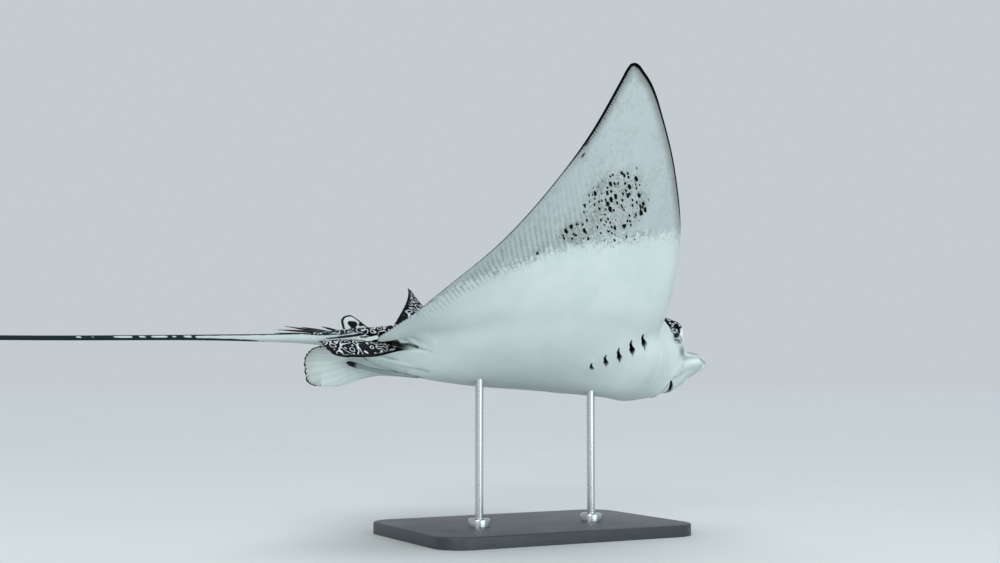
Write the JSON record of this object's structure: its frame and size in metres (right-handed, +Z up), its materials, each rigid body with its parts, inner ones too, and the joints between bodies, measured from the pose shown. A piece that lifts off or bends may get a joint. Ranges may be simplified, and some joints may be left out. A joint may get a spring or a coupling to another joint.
{
  "type": "spotted eagle ray model",
  "caption": "Life-size still model of a swimming spotted eagle ray, wings raised, banked to show its white belly, held on two steel rods over a flat display base.",
  "frame": {"origin": "centre of the underside of the display base, on the floor", "axes": "+X the way the ray swims, +Y to its left, +Z up"},
  "size_m": [3.7329, 1.0863, 0.9775],
  "materials": {
    "skin": "wet, smooth fish skin, white below with a dusky rear band, black with white rings above",
    "eye": "polished, dark",
    "spine": "dark, bony",
    "stand_paint": "painted dark grey, satin",
    "stand_steel": "brushed"
  },
  "bodies": {
    "root": {"snout_lobe": "skin", "head": "skin", "trunk": "skin", "wing_left_inner": "skin", "wing_left_outer": "skin", "wing_right_inner": "skin", "wing_right_outer": "skin", "pelvic_fin_left": "skin", "pelvic_fin_right": "skin", "clasper_left": "skin", "clasper_right": "skin", "dorsal_fin": "skin", "tail_1": "skin", "tail_2": "skin", "tail_3": "skin", "tail_4": "skin", "tail_5": "skin", "eye_left": "eye", "eye_right": "eye", "tail_spine_1": "spine", "tail_spine_2": "spine", "tail_spine_3": "spine", "tail_spine_4": "spine", "tail_spine_5": "spine", "stand_base": "stand_paint", "stand_rod_front": "stand_steel", "stand_rod_rear": "stand_steel"}
  },
  "joints": []
}
